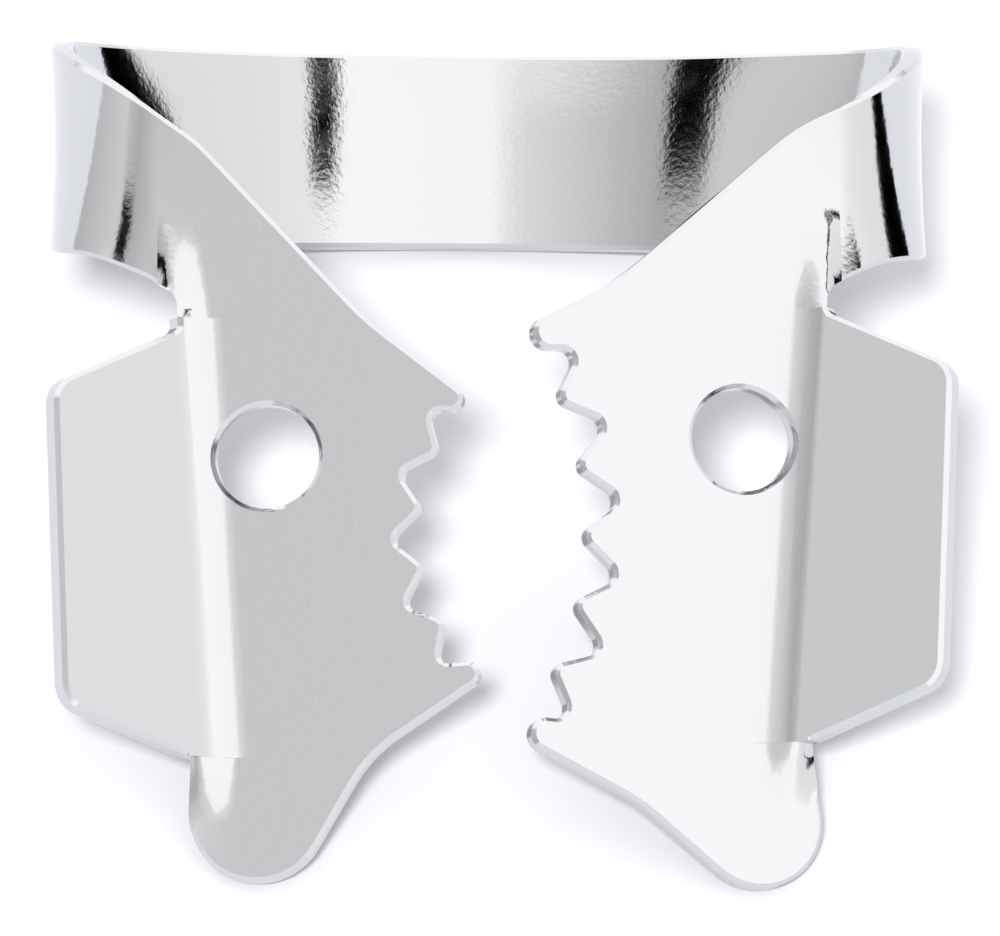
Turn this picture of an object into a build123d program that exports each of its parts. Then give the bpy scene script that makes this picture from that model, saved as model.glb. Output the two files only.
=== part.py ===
"""Winged rubber dam clamp: one strip of spring steel, stamped, folded and tumbled.

It is drawn in mm in a working frame: X across the clamp, Y from the lobes to the bow, Z to the jaw side.
Each side is drawn as a right-hand side with X outward, and the left one is mirrored.
At the end the clamp is turned to lie on its two lobes and the crown of its bow.
"""
import os
from math import acos, atan2, copysign, cos, degrees, hypot, pi, radians, sin, sqrt, tan

from build123d import *

# Sheet, folds and holes
sheet = 0.65              # thickness of the strip
edge_break = 0.12         # bevel that tumbling leaves on the cut edges
cut_angle = 40.0          # faces of a cut edge turn by more than this
jaw_tilt = 14.0           # slope of both jaw plates, rising to the middle
jaw_peak = 2.06           # height at which the two jaw plates would meet
fold_radius = 1.9         # inside radius of the wing folds
ridge_fall = 0.9          # width of the outer slope of the ridges that the wing folds die out in
ridge_sink = 0.01         # depth of the rims of those ridges in the plate
corner_round = 0.9        # outer corners of the wings
notch_round = 0.7         # end of the notch, at the leg
tab_round = 0.3           # end of the notch, at the wing
hole_radius = 1.5         # forceps holes

# Legs and bow
neck_gap = 0.57           # from the notch to where the arm starts to bend into the leg
leg_radius = 3.75         # outside radius of that bend
bow_depth = 13.5          # from the folds to the outside of the crown
bow_side_radius = 7.0     # outside radius of the bow beside the crown
bow_front = (6.18, 0.2)   # front edge of the bow: Y at the folds, and its rise per depth
bow_rear = (12.76, 0.136)
bow_hollow = 0.1          # how far the bent strip is hollow across its outside

# Drawing aids
reach = 2.2 * bow_depth   # size of the cutting tools, larger than the clamp
near = 0.001              # places closer than this are the same
section_turn = 15.0       # bend between two sections of the strip


# Places are (outward, along Y) in the plane of the jaw plate
class Right:
    hole = (7.09, 0.88)
    fold = 1.42                         # from the hole outward to the wing fold, at Y = 0
    fold_turn = 4.5                     # turn of the fold, outward to the bow
    wing_tilt = 34.0                    # slope of the wing, rising outward
    wing_rear = (5.02, 2.95)            # outer corners of the wing, in its plane, from the fold
    wing_front = (5.35, -6.29)
    wing_slopes = (-0.41, 0.38)         # slopes of the rear and front edge
    notch = (1.02, 4.75)                # inner end of the notch, from the fold
    leg_front = (5.3, 5.62)             # front edge at the notch and at the bend, along Y
    leg_front_run = 2.8                 # length along the leg in which it joins the edge of the bow
    leg_rear = 10.68                    # rear edge at the bend, along Y
    leg_rear_run = 6.0
    arm_outer = (1.29, 10.05)           # corner in the rear edge, inward from the bend
    arm_inner = (3.3, 5.25)
    arm_rounds = (6.0, 10.0)
    arm_ridge = 3.2                     # length in which the fold dies out in the arm
    lobe_ridge = 2.0                    # length in which it dies out in the lobe
    first_point = (-3.11, -0.12)        # sharp corner of the point at the arm, from the row of teeth
    last_point = (-3.4, 0.3)            # sharp corner of the point at the lobe, from the row of teeth
    point_round = 0.48
    neck = (3.9, -9.75)
    neck_round = 5.0
    lobe = (-1.01, -10.15)              # middle of the lobe, from the fold
    lobe_radius = 1.93
    step = (0.54, -7.9)                 # corner between lobe and wing, from the fold
    teeth = 5                           # teeth between the two points
    teeth_middle = (2.2, -1.85)         # middle of the curved line of the tips
    teeth_radius = 9.5                  # curve of that line
    teeth_depth = 1.35
    teeth_start = 3.68                  # first tip, along the line from its middle
    teeth_pitch = 1.973
    teeth_round = 0.35


class Left:
    hole = (6.97, 0.29)
    fold = 1.79
    fold_turn = 3.2
    wing_tilt = 30.0
    wing_rear = (4.95, 2.22)
    wing_front = (5.25, -7.05)
    wing_slopes = (-0.41, 0.32)
    notch = (0.72, 4.35)
    leg_front = (5.04, 5.4)
    leg_front_run = 3.2
    leg_rear = 10.4
    leg_rear_run = 8.0
    arm_outer = (1.19, 9.5)
    arm_inner = (4.1, 4.2)
    arm_rounds = (4.0, 8.0)
    arm_ridge = 3.2
    lobe_ridge = 2.0
    first_point = (-1.78, -0.14)
    last_point = (-2.2, 0.14)
    point_round = 0.35
    neck = (4.05, -8.42)
    neck_round = 4.0
    lobe = (-1.46, -10.0)
    lobe_radius = 1.97
    step = (0.39, -8.4)
    teeth = 4
    teeth_middle = (2.54, -2.05)
    teeth_radius = 5.29
    teeth_depth = 0.9
    teeth_start = 2.373
    teeth_pitch = 1.69
    teeth_round = 0.3


def outline(corners):
    """Closed face from corners (x, y, rounding)."""
    count = len(corners)
    arcs = []
    ends = []
    for i in range(count):
        x, y, radius = corners[i]
        before = corners[i - 1]
        after = corners[(i + 1) % count]
        corner = Vector(x, y)
        into = Vector(x - before[0], y - before[1]).normalized()
        out = Vector(after[0] - x, after[1] - y).normalized()
        half = radians(into.get_angle(out)) / 2
        start = corner - into * radius * tan(half)
        stop = corner + out * radius * tan(half)
        ends.append((start, stop))
        if radius > 0:
            middle = corner + (out - into).normalized() * radius * (1 / cos(half) - 1)
            arcs.append(Edge.make_three_point_arc(start, middle, stop))
    lines = [Edge.make_line(ends[i - 1][1], ends[i][0]) for i in range(count)]
    return Face(Wire(arcs + lines))


def handed(shape, hand):
    """The shape as drawn for the right side, or mirrored for the left one."""
    return shape if hand > 0 else mirror(shape, about=Plane.YZ)


def touch(point, centre, radius, hand):
    """Where a line from the point touches the circle."""
    dx = point[0] - centre[0]
    dy = point[1] - centre[1]
    angle = atan2(dy, dx) + hand * acos(radius / hypot(dx, dy))
    return centre[0] + radius * cos(angle), centre[1] + radius * sin(angle)


def crossing(a, b, c, d):
    """Where the line a-b meets the line c-d."""
    one = Vector(b[0] - a[0], b[1] - a[1])
    two = Vector(d[0] - c[0], d[1] - c[1])
    share = ((c[0] - a[0]) * two.Y - (c[1] - a[1]) * two.X) / (one.X * two.Y - one.Y * two.X)
    return a[0] + one.X * share, a[1] + one.Y * share


def fold_x(s):
    """Place of the wing fold at Y = 0, in the plane of the jaw plate."""
    return s.hole[0] + s.fold


def from_fold(s, place):
    """A place given outward from the fold, in the plane of the jaw plate."""
    return fold_x(s) + place[0], place[1]


# Plane of the jaw plate, and where both arms start to bend
both_sides = ((Right, 1), (Left, -1))
tilt = radians(jaw_tilt)
jaw_plane = Plane((0, 0, jaw_peak), x_dir=(cos(tilt), 0, -sin(tilt)), z_dir=(sin(tilt), 0, cos(tilt)))
arm_end = max(from_fold(s, s.notch)[0] for s, hand in both_sides) + neck_gap
arm_x = arm_end * cos(tilt)
arm_z = jaw_peak - arm_end * sin(tilt)

# Bends from the arm to the crown of the three-centred bow
bow_rise = bow_depth + arm_z - leg_radius * cos(tilt)
side_x = arm_x + leg_radius * (1 - sin(tilt)) - bow_side_radius
crown_radius = (side_x**2 + bow_rise**2 - bow_side_radius**2) / (2 * (bow_rise - bow_side_radius))
crown_turn = atan2(side_x, crown_radius - bow_rise)
bends = (
    (leg_radius, pi / 2 - tilt),
    (bow_side_radius, pi / 2 - crown_turn),
    (crown_radius, crown_turn),
)


def stations():
    """Places along the jaw-side surface from the arm to the crown: (length so far, X, Z, heading)."""
    found = [(0.0, arm_x, arm_z, -tilt)]
    for radius, turn in bends:
        run, x, z, heading = found[-1]
        count = max(2, round(degrees(turn) / section_turn))
        for i in range(1, count + 1):
            angle = turn * i / count
            out = x + radius * (sin(heading) - sin(heading - angle))
            rise = z + radius * (cos(heading - angle) - cos(heading))
            found.append((run + radius * angle, out, rise, heading - angle))
    return found


def edge_y(bow_edge, start, slope, length, run, z):
    """An edge of the strip along Y: it leaves the arm at its slope and joins the edge of the bow smoothly."""
    level, rise = bow_edge
    line = level - rise * z
    if run >= length:
        return line
    share = run / length
    gap = start - (level - rise * arm_z)
    pull = (slope - rise * sin(tilt)) * length
    return line + (gap * (1 + 2 * share) + pull * share) * (1 - share) ** 2


def strip_edges(s, run, z):
    """Front and rear edge of the strip along Y."""
    front_slope = (s.leg_front[1] - s.leg_front[0]) / (arm_end - from_fold(s, s.notch)[0])
    rear_slope = (s.leg_rear - s.arm_outer[1]) / s.arm_outer[0]
    front = edge_y(bow_front, s.leg_front[1], front_slope, s.leg_front_run, run, z)
    rear = edge_y(bow_rear, s.leg_rear, rear_slope, s.leg_rear_run, run, z)
    return front, rear


def section(s, hand, station):
    """Section of the strip with bevelled corners."""
    run, x, z, heading = station
    front, rear = strip_edges(s, run, z)
    front_ahead, rear_ahead = strip_edges(s, run + near, z + near * sin(heading))
    front_in = front + edge_break * hypot(1, (front_ahead - front) / near)
    rear_in = rear - edge_break * hypot(1, (rear_ahead - rear) / near)
    top = Vector(hand * x, 0, z)
    inward = Vector(hand * sin(heading), 0, -cos(heading))
    places = [(front_in, 0), (rear_in, 0), (rear, edge_break), (rear, sheet - edge_break)]
    places += [(rear_in, sheet), (front_in, sheet), (front, sheet - edge_break), (front, edge_break)]
    points = [top + inward * depth + Vector(0, y, 0) for y, depth in places]
    share = min(1, run / (leg_radius * (pi / 2 - tilt)))
    sag = inward * bow_hollow * share**2 * (3 - 2 * share)
    edges = []
    for i, point in enumerate(points):
        after = points[(i + 1) % len(points)]
        if i % 4 == 0 and share > 0:
            edges.append(Edge.make_three_point_arc(point, (point + after) / 2 + sag, after))
        else:
            edges.append(Edge.make_line(point, after))
    return Face(Wire(edges))


def strip():
    """Both legs with the bow, from arm to arm."""
    right = [section(Right, 1, station) for station in stations()]
    left = [section(Left, -1, station) for station in stations()]
    return loft(right + left[-2::-1])


def fold_back(s):
    """Distance from the wing fold to where its bend starts."""
    return fold_radius * tan(radians(jaw_tilt + s.wing_tilt) / 2)


def fold_frame(s):
    """Plane of the jaw plate with its origin on the fold and its Y along the fold."""
    turn = radians(s.fold_turn)
    start = jaw_plane.from_local_coords(Vector(fold_x(s), 0, 0))
    across = jaw_plane.x_dir * cos(turn) - jaw_plane.y_dir * sin(turn)
    return Plane(start, x_dir=across, z_dir=jaw_plane.z_dir)


def bend_start(s, y):
    """Where the bend of the wing starts, in the plane of the jaw plate."""
    turn = radians(s.fold_turn)
    return fold_x(s) - fold_back(s) / cos(turn) + y * tan(turn), y


def jaw_outline(s):
    """Arm, teeth, neck, lobe, start of the wing and notch, in the plane of the jaw plate."""
    notch = from_fold(s, s.notch)
    step = from_fold(s, s.step)
    lobe = from_fold(s, s.lobe)
    corners = [(arm_end, s.leg_rear, 0)]
    corners.append((arm_end - s.arm_outer[0], s.arm_outer[1], s.arm_rounds[0]))
    corners.append((*s.arm_inner, s.arm_rounds[1]))
    row = []
    for i in range(2 * s.teeth + 1):
        angle = (s.teeth_start - s.teeth_pitch * (i - 1) / 2) / s.teeth_radius
        radius = s.teeth_radius + s.teeth_depth * (1 - i % 2)
        x = s.teeth_middle[0] - s.teeth_radius + radius * cos(angle)
        y = s.teeth_middle[1] + radius * sin(angle)
        row.append((x, y, s.teeth_round))
    corners.append((row[0][0] + s.first_point[0], row[0][1] + s.first_point[1], s.point_round))
    corners += row
    corners.append((row[-1][0] + s.last_point[0], row[-1][1] + s.last_point[1], s.point_round))
    corners.append((*s.neck, s.neck_round))
    lobe_in = touch(s.neck, lobe, s.lobe_radius, 1)
    lobe_out = touch(step, lobe, s.lobe_radius, -1)
    corners.append((*crossing(s.neck, lobe_in, step, lobe_out), s.lobe_radius))
    corners.append((*step, 0))
    corners.append((*bend_start(s, step[1]), 0))
    corners.append((*bend_start(s, notch[1]), 0))
    corners.append((*notch, 0))
    corners.append((notch[0], s.leg_front[0], notch_round))
    corners.append((arm_end, s.leg_front[1], 0))
    return outline(corners)


def plate(s):
    """Jaw plate with its arm and lobe."""
    return extrude(jaw_plane * jaw_outline(s), sheet, dir=-jaw_plane.z_dir)


def bent_section(s):
    """Section of the wing with its bend, from the start of the bend outward."""
    swing = radians(jaw_tilt + s.wing_tilt)
    back = fold_back(s)
    sides = []
    for depth in (0, sheet):
        radius = fold_radius + depth
        start = Vector(-back, -depth)
        middle = Vector(radius * sin(swing / 2) - back, fold_radius - radius * cos(swing / 2))
        stop = Vector(radius * sin(swing) - back, fold_radius - radius * cos(swing))
        end = stop + Vector(cos(swing), sin(swing)) * reach / 2
        sides.append((start, end))
        sides[-1] += (Edge.make_three_point_arc(start, middle, stop), Edge.make_line(stop, end))
    upper, under = sides
    ends = [Edge.make_line(upper[i], under[i]) for i in range(2)]
    return Face(Wire([*upper[2:], *under[2:], *ends]))


def wing(s):
    """Wing from the start of its bend outward."""
    frame = fold_frame(s)
    drawn = Plane((0, reach / 2, 0), x_dir=(1, 0, 0), z_dir=(0, -1, 0)) * bent_section(s)
    shape = frame * extrude(drawn, reach, dir=(0, -1, 0))
    band = Box(2 * reach, s.notch[1] - s.step[1], 2 * reach)
    shape &= Pos(0, (s.notch[1] + s.step[1]) / 2, 0) * band
    swing = radians(jaw_tilt + s.wing_tilt)
    across = frame.x_dir * cos(swing) + frame.z_dir * sin(swing)
    face = Plane(frame.origin, x_dir=across, z_dir=frame.z_dir * cos(swing) - frame.x_dir * sin(swing))
    tip = s.notch[0] * cos(tilt) / cos(radians(s.wing_tilt)) - s.notch[1] * tan(radians(s.fold_turn))
    corners = [
        (-reach, reach, 0),
        (tip, reach, 0),
        (tip, s.wing_rear[1] + s.wing_slopes[0] * (tip - s.wing_rear[0]), tab_round),
        (*s.wing_rear, corner_round),
        (*s.wing_front, corner_round),
        (-reach, s.wing_front[1] - s.wing_slopes[1] * (s.wing_front[0] + reach), 0),
    ]
    return shape & extrude(face * outline(corners), reach / 2, both=True)


def ridge_section(s, y, share):
    """Section across the ridge: the bend of the wing at a share of its height, then a fall to the plate."""
    half = radians(jaw_tilt + s.wing_tilt) / 2
    back = -fold_back(s)
    bend = [(back + fold_radius * sin(half * i), fold_radius * (1 - cos(half * i))) for i in range(3)]
    foot = bend[-1][0] + ridge_fall
    heights = [(x, z * share - ridge_sink) for x, z in bend] + [(foot, -ridge_sink)]
    crest = Spline(*heights, tangents=((1, 0), (ridge_fall, -bend[-1][1] * share)))
    floor = Polyline((foot, -ridge_sink), (foot, -sheet / 2), (back, -sheet / 2), (back, -ridge_sink))
    drawn = Plane((0, y, 0), x_dir=(1, 0, 0), z_dir=(0, -1, 0)) * make_face(crest + floor)
    return (fold_frame(s) * drawn).face()


def ridge(s, edge, run):
    """Swelling in the plate beyond an end of the wing, where the fold dies out along Y."""
    way = copysign(1, run)
    shares = ((edge - way * sheet, 1), (edge + run / 2, 0.4), (edge + run, 0))
    shape = loft([ridge_section(s, y, share) for y, share in shares])
    beyond = Pos(0, edge + way * reach, 0) * Box(4 * reach, 2 * reach, 4 * reach)
    return shape & beyond & extrude(jaw_plane * jaw_outline(s), reach / 2, both=True)


def joints(s):
    """Planes in which the jaw plate meets its wing and its leg."""
    start = jaw_plane.from_local_coords(Vector(*bend_start(s, 0), 0))
    end = jaw_plane.from_local_coords(Vector(arm_end, 0, 0))
    planes = [Plane(start, z_dir=fold_frame(s).x_dir), Plane(end, z_dir=jaw_plane.x_dir)]
    return planes + [Plane((0, place[1], 0), z_dir=(0, 1, 0)) for place in (s.notch, s.step)]


def lies_in(edge, plane):
    """Whether the whole edge is in the plane."""
    return all(abs(plane.to_local_coords(edge.position_at(share)).Z) < near for share in (0, 0.5, 1))


def tumbled(shape, planes):
    """The shape with its cut edges bevelled, apart from those in the given planes."""
    sides = {}
    for face in shape.faces():
        for edge in face.edges():
            sides.setdefault(hash(edge), (edge, []))[1].append(face)
    sharp = []
    for edge, faces in sides.values():
        middle = edge.position_at(0.5)
        normals = [face.normal_at(middle) for face in faces]
        if normals[0].get_angle(normals[-1]) < cut_angle:
            continue
        if not any(lies_in(edge, plane) for plane in planes):
            sharp.append(edge)
    return chamfer(sharp, edge_break)


def drilled(shape, s, hand):
    """The shape with a forceps hole through the jaw plate, its rims bevelled."""
    shape -= handed(jaw_plane * Pos(*s.hole) * Cylinder(hole_radius, reach / 2), hand)
    rims = []
    for face in shape.faces().filter_by(GeomType.CYLINDER):
        if abs(face.radius - hole_radius) < near and hand * face.center().X > 0:
            rims += [edge for edge in face.edges() if edge.geom_type != GeomType.LINE]
    return chamfer(rims, edge_break)


# Legs with the bow, then on each side the plate, wing, ridges and hole
clamp = strip()
for s, hand in both_sides:
    clamp += handed(tumbled(plate(s), joints(s)), hand)
    clamp += handed(tumbled(wing(s), joints(s)), hand)
    for edge, run in ((s.notch[1], s.arm_ridge), (s.step[1], -s.lobe_ridge)):
        swelling = ridge(s, edge, run)
        hollow = Pos(*(jaw_plane.z_dir * -sheet)) * swelling
        clamp += handed(swelling, hand)
        clamp -= handed(hollow, hand)
    clamp = drilled(clamp, s, hand)


def lowest(s, angle):
    """Height of the lowest place on a lobe once the clamp is turned about X."""
    out, along = from_fold(s, s.lobe)
    swing = sqrt(sin(angle) ** 2 + (sin(tilt) * cos(angle)) ** 2)
    under = jaw_peak - out * sin(tilt) - sheet * cos(tilt)
    return along * sin(angle) + under * cos(angle) - (s.lobe_radius - edge_break) * swing


# Turned about X until the lobes are as low as the front of the crown
crown_y = bow_front[0] + bow_front[1] * bow_depth + edge_break
low_turn = 0.0
high_turn = pi / 2
while high_turn - low_turn > near / reach:
    turn = (low_turn + high_turn) / 2
    lobes = (lowest(Right, turn) + lowest(Left, turn)) / 2
    if lobes > crown_y * sin(turn) - bow_depth * cos(turn):
        low_turn = turn
    else:
        high_turn = turn
clamp = Rot(degrees(low_turn), 0, 0) * clamp
box = clamp.bounding_box()
clamp = Pos(-box.center().X, -box.center().Y, -box.min.Z) * clamp

os.makedirs("parts", exist_ok=True)
export_step(clamp, "parts/clamp.step")
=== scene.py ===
"""Looks of a winged rubber dam clamp: bright tumbled spring steel on a white studio floor."""
from math import cos, pi, radians, sin

import bpy
from mathutils import Matrix, Vector

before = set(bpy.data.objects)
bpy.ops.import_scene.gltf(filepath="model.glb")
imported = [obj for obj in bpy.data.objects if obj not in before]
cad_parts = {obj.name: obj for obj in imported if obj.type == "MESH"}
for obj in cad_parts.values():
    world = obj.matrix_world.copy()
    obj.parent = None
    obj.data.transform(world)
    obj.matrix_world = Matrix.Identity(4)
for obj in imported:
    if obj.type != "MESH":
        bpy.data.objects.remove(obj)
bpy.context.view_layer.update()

mm = 0.001

# How the clamp lies, and the photograph's view of it before it was laid down
lie_turn = radians(31.987)
lie_shift = Vector((0.124, -4.567, 6.732)) * mm
view_tilt = radians(10)
view_turn = radians(4.5)
view_roll = radians(-0.4)
frame_width = 28.57 * mm
frame_shift = (-0.057 * mm, 0.057 * mm)
camera_distance = 550 * mm
sensor_width = 36.0

# White tent around the clamp: brightness at each angle in degrees to the right of the camera
tent = (
    (-180, 0.7), (-100, 0.75), (-85, 0.85), (-60, 0.97), (-55, 0.8), (-43, 0.66), (-22, 0.92), (-6, 1.12),
    (2, 1.5), (40, 1.55), (54, 1.3), (70, 1.22), (85, 1.2), (100, 0.9), (180, 0.7),
)
tent_ends = 1.5                       # brightness of its top and bottom, which have no gaps
tent_end_heights = (0.55, 0.72)       # they come in between these heights, of 1 at the very top
# Dark gaps between its panels: first and last angle, and the width of their soft edges
high_gaps = ((-56.5, -43, 2), (42.5, 52, 2))
full_gaps = ((87, 120, 2),)
gap_fade = (0.12, 0.2)                # the high gaps come in between these heights above the tent's middle
middle_rise = 0.171                   # height of that middle beside the clamp, doubled at the camera

# Light near the camera, which throws a soft shadow to the lower right
key_offset = (-0.075, 0.075)
key_angle = radians(8)
key_strength = 3.6

# Floor
floor_size = 2.0
floor_color = (0.55, 0.55, 0.58, 1)
floor_roughness = 0.9

# Steel, with slow waves, a fine grain and patches that are less bright
steel_color = (0.59, 0.6, 0.61, 1)
steel_roughness = (0.03, 0.12)
patch_size = 0.6 * mm
wave_size = 2.5 * mm
wave_depth = 0.006 * mm
grain_size = 0.16 * mm
grain_depth = 0.003 * mm

# Lean and twist that bending left in the legs and the bow
strip_middle = (8.1 * mm, 0.28)       # middle of the strip's width at the folds, and its rise per depth
strip_lean = 0.1                      # slope of the bent strip to its rear edge
leg_hollow = 0.045 / mm               # change of that slope at the legs, per distance from the middle
strip_twist = 0.08 / mm               # slope outward at the legs, per distance from the middle
leg_place = 11.5 * mm                 # how far the legs are from the middle of the clamp
leg_power = 3.0                       # how sharply hollow and twist gather at the legs
bent_depth = (-0.2 * mm, 1.2 * mm)    # lean and twist come in over these depths below the folds

# Smooth shading
flat_share = 0.9998                   # faces whose corners point alike by this much are flat
cut_angle = radians(25)               # edges sharper than this stay sharp
merge_distance = 0.0005 * mm


def laid(vector):
    """A direction on the upright clamp, once the clamp lies on the floor."""
    return Matrix.Rotation(lie_turn, 3, "X") @ Vector(vector)


# Across the upright clamp, along it to the bow, and below its folds
clamp_axes = [laid(axis) for axis in ((1, 0, 0), (0, 1, 0), (0, 0, -1))]

# To the camera, and the picture's up and right
toward = laid((-sin(view_turn), -sin(view_tilt) * cos(view_turn), cos(view_tilt) * cos(view_turn)))
level_up = toward.cross(laid((cos(view_turn), 0, sin(view_turn)))).normalized()
up = Matrix.Rotation(view_roll, 3, toward) @ level_up
right = up.cross(toward)


def node(tree, kind, **settings):
    """A new node with its properties set."""
    made = tree.nodes.new(kind)
    for name, value in settings.items():
        setattr(made, name, value)
    return made


def feed(tree, socket, value):
    """Give a socket a number, a vector or another node's output."""
    if isinstance(value, bpy.types.NodeSocket):
        tree.links.new(value, socket)
    else:
        socket.default_value = value


def calculate(tree, operation, *values):
    """A maths node; each value is a number or another node's output."""
    made = node(tree, "ShaderNodeMath", operation=operation)
    for socket, value in zip(made.inputs, values):
        feed(tree, socket, value)
    return made.outputs["Value"]


def combine(tree, operation, *values):
    """A vector maths node; each value is a vector or another node's output."""
    made = node(tree, "ShaderNodeVectorMath", operation=operation)
    for socket, value in zip(made.inputs, values):
        feed(tree, socket, value)
    return made.outputs["Value" if operation == "DOT_PRODUCT" else "Vector"]


def rise(tree, value, limits):
    """A soft step from 0 to 1 between two limits."""
    made = node(tree, "ShaderNodeMapRange", interpolation_type="SMOOTHSTEP")
    made.inputs["From Min"].default_value = limits[0]
    made.inputs["From Max"].default_value = limits[1]
    tree.links.new(value, made.inputs["Value"])
    return made.outputs["Result"]


def around(angle):
    """An angle in degrees as a place from 0 to 1 around the tent."""
    return angle / 360 + 0.5


def levels(tree, place, stops):
    """A curve through (angle in degrees, level), read at a place around the tent."""
    ramp = node(tree, "ShaderNodeValToRGB")
    elements = ramp.color_ramp.elements
    elements.remove(elements[1])
    for i, (angle, level) in enumerate(stops):
        element = elements[0] if i == 0 else elements.new(around(angle))
        element.position = around(angle)
        element.color = (level, level, level, 1)
    tree.links.new(place, ramp.inputs["Fac"])
    return ramp.outputs["Color"]


def gap_levels(tree, place, gaps):
    """How dark the gaps are at a place around the tent."""
    stops = []
    for first, last, soft in gaps:
        stops += [(first, 0), (first + soft, 1), (last - soft, 1), (last, 0)]
    return levels(tree, place, stops)


def make_camera():
    """Long lens at the photograph's angle."""
    camera = bpy.data.objects.new("camera", bpy.data.cameras.new("camera"))
    bpy.context.scene.collection.objects.link(camera)
    target = lie_shift + right * frame_shift[0] + up * frame_shift[1]
    place = target + toward * camera_distance
    camera.matrix_world = Matrix.Translation(place) @ Matrix((right, up, toward)).transposed().to_4x4()
    camera.data.sensor_width = sensor_width
    camera.data.lens = sensor_width * camera_distance / frame_width
    bpy.context.scene.camera = camera


def make_floor():
    """Plain pale floor without shine."""
    bpy.ops.mesh.primitive_plane_add(size=floor_size)
    floor = bpy.context.object
    floor.name = "floor"
    material = bpy.data.materials.new("floor_white")
    material.use_nodes = True
    shader = material.node_tree.nodes["Principled BSDF"]
    shader.inputs["Base Color"].default_value = floor_color
    shader.inputs["Roughness"].default_value = floor_roughness
    shader.inputs["Specular IOR Level"].default_value = 0.0
    floor.data.materials.append(material)


def make_world():
    """The tent: bright panels with dark gaps, and bright ends above and below."""
    world = bpy.data.worlds.new("studio")
    world.use_nodes = True
    tree = world.node_tree
    direction = node(tree, "ShaderNodeTexCoord").outputs["Generated"]
    ahead = combine(tree, "DOT_PRODUCT", direction, toward)
    height = combine(tree, "DOT_PRODUCT", direction, up)
    angle = calculate(tree, "ARCTAN2", combine(tree, "DOT_PRODUCT", direction, right), ahead)
    # The same as around(), for an angle in radians
    place = calculate(tree, "MULTIPLY_ADD", angle, 0.5 / pi, 0.5)
    middle = calculate(tree, "MULTIPLY_ADD", ahead, middle_rise, middle_rise)
    fade = rise(tree, calculate(tree, "SUBTRACT", height, middle), gap_fade)
    high = calculate(tree, "MULTIPLY", gap_levels(tree, place, high_gaps), fade)
    dark = calculate(tree, "ADD", high, gap_levels(tree, place, full_gaps))
    lit = calculate(tree, "MULTIPLY", levels(tree, place, tent), calculate(tree, "SUBTRACT", 1.0, dark))
    ends = rise(tree, calculate(tree, "ABSOLUTE", height), tent_end_heights)
    wall = calculate(tree, "MULTIPLY", lit, calculate(tree, "SUBTRACT", 1.0, ends))
    bright = calculate(tree, "MULTIPLY_ADD", ends, tent_ends, wall)
    tree.links.new(bright, tree.nodes["Background"].inputs["Color"])
    bpy.context.scene.world = world


def make_key():
    """Soft light from beside the camera, not mirrored in the steel."""
    light = bpy.data.lights.new("key", "SUN")
    light.energy = key_strength
    light.angle = key_angle
    lamp = bpy.data.objects.new("key", light)
    bpy.context.scene.collection.objects.link(lamp)
    source = toward + right * key_offset[0] + up * key_offset[1]
    lamp.rotation_euler = source.to_track_quat("Z", "Y").to_euler()
    lamp.visible_glossy = False


def noise(tree, place, size):
    """Cloud of the given grain size in metres."""
    made = node(tree, "ShaderNodeTexNoise")
    made.inputs["Scale"].default_value = 1 / size
    tree.links.new(place, made.inputs["Vector"])
    return made.outputs["Fac"]


def bump(tree, height, depth, before):
    """Unevenness of the given depth in metres, on top of an earlier normal."""
    made = node(tree, "ShaderNodeBump")
    made.inputs["Strength"].default_value = 1.0
    made.inputs["Distance"].default_value = depth
    tree.links.new(height, made.inputs["Height"])
    tree.links.new(before, made.inputs["Normal"])
    return made.outputs["Normal"]


def strip_normal(tree, place):
    """The surface's normal, with the slight lean and twist that bending left in the legs and the bow."""
    clamp_place = combine(tree, "SUBTRACT", place, lie_shift)
    across, along, below = (combine(tree, "DOT_PRODUCT", clamp_place, axis) for axis in clamp_axes)
    bent = rise(tree, below, bent_depth)
    middle = calculate(tree, "MULTIPLY_ADD", below, strip_middle[1], strip_middle[0])
    to_rear = calculate(tree, "SUBTRACT", along, middle)
    beside = calculate(tree, "POWER", calculate(tree, "DIVIDE", across, leg_place), leg_power)
    twist = calculate(tree, "MULTIPLY", calculate(tree, "MULTIPLY", beside, to_rear), strip_twist)
    at_legs = calculate(tree, "MULTIPLY", calculate(tree, "ABSOLUTE", beside), to_rear)
    lean = calculate(tree, "MULTIPLY_ADD", at_legs, -leg_hollow, strip_lean)
    normal = node(tree, "ShaderNodeNewGeometry").outputs["Normal"]
    for axis, amount in zip(clamp_axes, (twist, lean)):
        push = node(tree, "ShaderNodeVectorMath", operation="SCALE")
        push.inputs[0].default_value = axis
        tree.links.new(calculate(tree, "MULTIPLY", bent, amount), push.inputs["Scale"])
        normal = combine(tree, "ADD", normal, push.outputs["Vector"])
    return combine(tree, "NORMALIZE", normal)


def make_steel():
    """Bright steel for the clamp."""
    steel = bpy.data.materials.new("steel")
    steel.use_nodes = True
    tree = steel.node_tree
    shader = tree.nodes["Principled BSDF"]
    shader.inputs["Base Color"].default_value = steel_color
    shader.inputs["Metallic"].default_value = 1.0
    place = node(tree, "ShaderNodeTexCoord").outputs["Object"]
    waves = bump(tree, noise(tree, place, wave_size), wave_depth, strip_normal(tree, place))
    grain = bump(tree, noise(tree, place, grain_size), grain_depth, waves)
    tree.links.new(grain, shader.inputs["Normal"])
    rough = node(tree, "ShaderNodeMapRange")
    rough.inputs["To Min"].default_value = steel_roughness[0]
    rough.inputs["To Max"].default_value = steel_roughness[1]
    tree.links.new(noise(tree, place, patch_size), rough.inputs["Value"])
    tree.links.new(rough.outputs["Result"], shader.inputs["Roughness"])
    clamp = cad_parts["clamp"]
    clamp.data.materials.clear()
    clamp.data.materials.append(steel)


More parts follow.
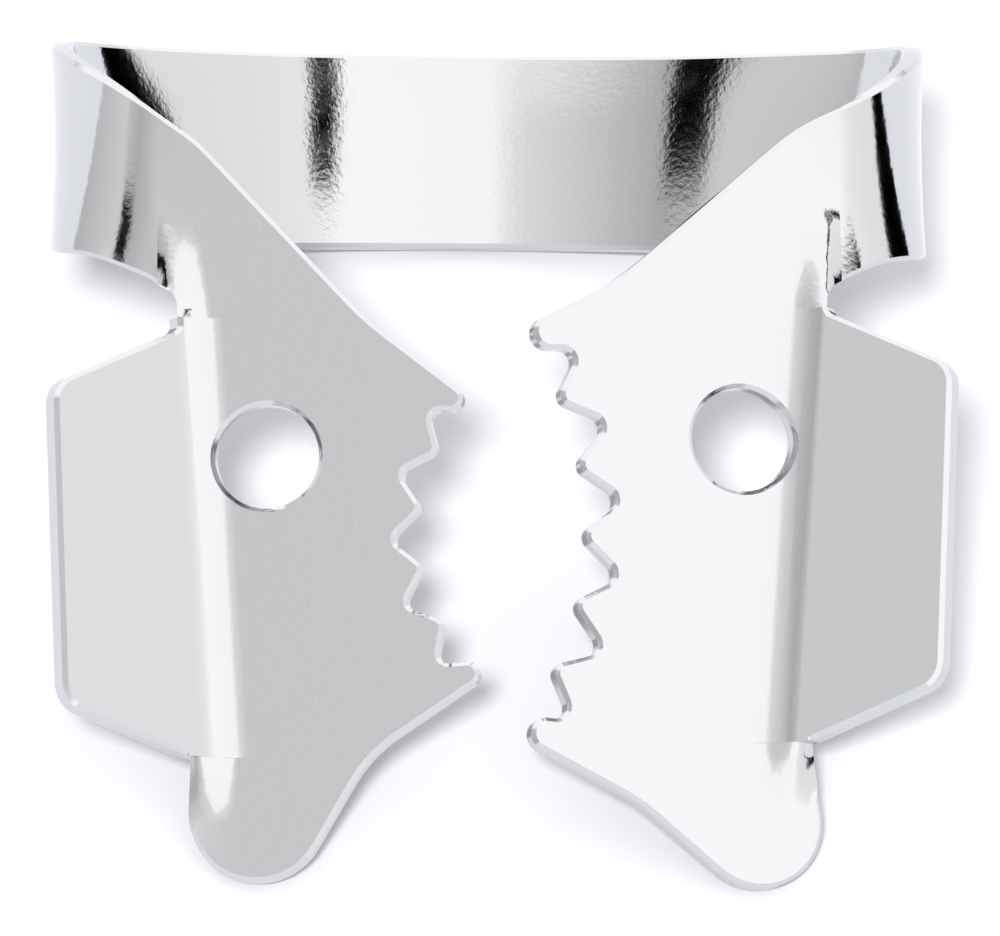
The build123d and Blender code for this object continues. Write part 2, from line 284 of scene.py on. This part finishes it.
def measure_faces(tree, mesh, normal):
    """The mesh, and how flat each of its faces is: how far its corners point alike."""
    on_face = node(tree, "GeometryNodeFieldOnDomain", domain="FACE", data_type="FLOAT_VECTOR")
    tree.links.new(normal.outputs["True Normal"], on_face.inputs["Value"])
    alike = combine(tree, "DOT_PRODUCT", normal.outputs["Normal"], on_face.outputs["Value"])
    on_corner = node(tree, "GeometryNodeFieldOnDomain", domain="CORNER", data_type="FLOAT")
    tree.links.new(alike, on_corner.inputs["Value"])
    kept = node(tree, "GeometryNodeCaptureAttribute", domain="FACE")
    kept.capture_items.new("FLOAT", "flatness")
    tree.links.new(mesh, kept.inputs["Geometry"])
    tree.links.new(on_corner.outputs["Value"], kept.inputs["flatness"])
    return kept.outputs["Geometry"], kept.outputs["flatness"]


def join_faces(tree, mesh):
    """The mesh with its faces joined, apart from those that meet in a sharp edge."""
    merged = node(tree, "GeometryNodeMergeByDistance")
    merged.inputs["Distance"].default_value = merge_distance
    tree.links.new(mesh, merged.inputs["Geometry"])
    edge = node(tree, "GeometryNodeInputMeshEdgeAngle").outputs["Unsigned Angle"]
    split = node(tree, "GeometryNodeSplitEdges")
    tree.links.new(merged.outputs["Geometry"], split.inputs["Mesh"])
    tree.links.new(calculate(tree, "GREATER_THAN", edge, cut_angle), split.inputs["Selection"])
    return split.outputs["Mesh"]


def flattest_face(tree, mesh, flatness, normal):
    """Flatness and normal of the flattest face around each point."""
    corner = node(tree, "GeometryNodeCornersOfVertex")
    tree.links.new(calculate(tree, "MULTIPLY", flatness, -1.0), corner.inputs["Weights"])
    face = node(tree, "GeometryNodeFaceOfCorner")
    tree.links.new(corner.outputs["Corner Index"], face.inputs["Corner Index"])
    found = []
    for kind, value in (("FLOAT", flatness), ("FLOAT_VECTOR", normal)):
        sample = node(tree, "GeometryNodeSampleIndex", domain="FACE", data_type=kind)
        tree.links.new(mesh, sample.inputs["Geometry"])
        tree.links.new(value, sample.inputs["Value"])
        tree.links.new(face.outputs["Face Index"], sample.inputs["Index"])
        found.append(sample.outputs["Value"])
    return found


def smooth_joints():
    """Shade the bends so that they run into the flat plates without a line; the shape stays as it is."""
    tree = bpy.data.node_groups.new("smooth_joints", "GeometryNodeTree")
    for way in ("INPUT", "OUTPUT"):
        tree.interface.new_socket("Geometry", in_out=way, socket_type="NodeSocketGeometry")
    start = node(tree, "NodeGroupInput").outputs["Geometry"]
    normal = node(tree, "GeometryNodeInputNormal")
    true_normal = normal.outputs["True Normal"]
    measured, flatness = measure_faces(tree, start, normal)
    mesh = join_faces(tree, measured)
    most_flat, flat_normal = flattest_face(tree, mesh, flatness, true_normal)
    choice = node(tree, "GeometryNodeSwitch", input_type="VECTOR")
    tree.links.new(calculate(tree, "GREATER_THAN", most_flat, flat_share), choice.inputs["Switch"])
    tree.links.new(true_normal, choice.inputs["False"])
    tree.links.new(flat_normal, choice.inputs["True"])
    shaded = node(tree, "GeometryNodeSetMeshNormal", mode="FREE", domain="POINT")
    tree.links.new(mesh, shaded.inputs["Mesh"])
    tree.links.new(choice.outputs["Output"], shaded.inputs["Custom Normal"])
    tree.links.new(shaded.outputs["Mesh"], node(tree, "NodeGroupOutput").inputs["Geometry"])
    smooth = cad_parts["clamp"].modifiers.new("smooth_joints", "NODES")
    smooth.node_group = tree


make_camera()
make_floor()
make_world()
make_key()
make_steel()
smooth_joints()
bpy.context.scene.view_settings.view_transform = "Standard"
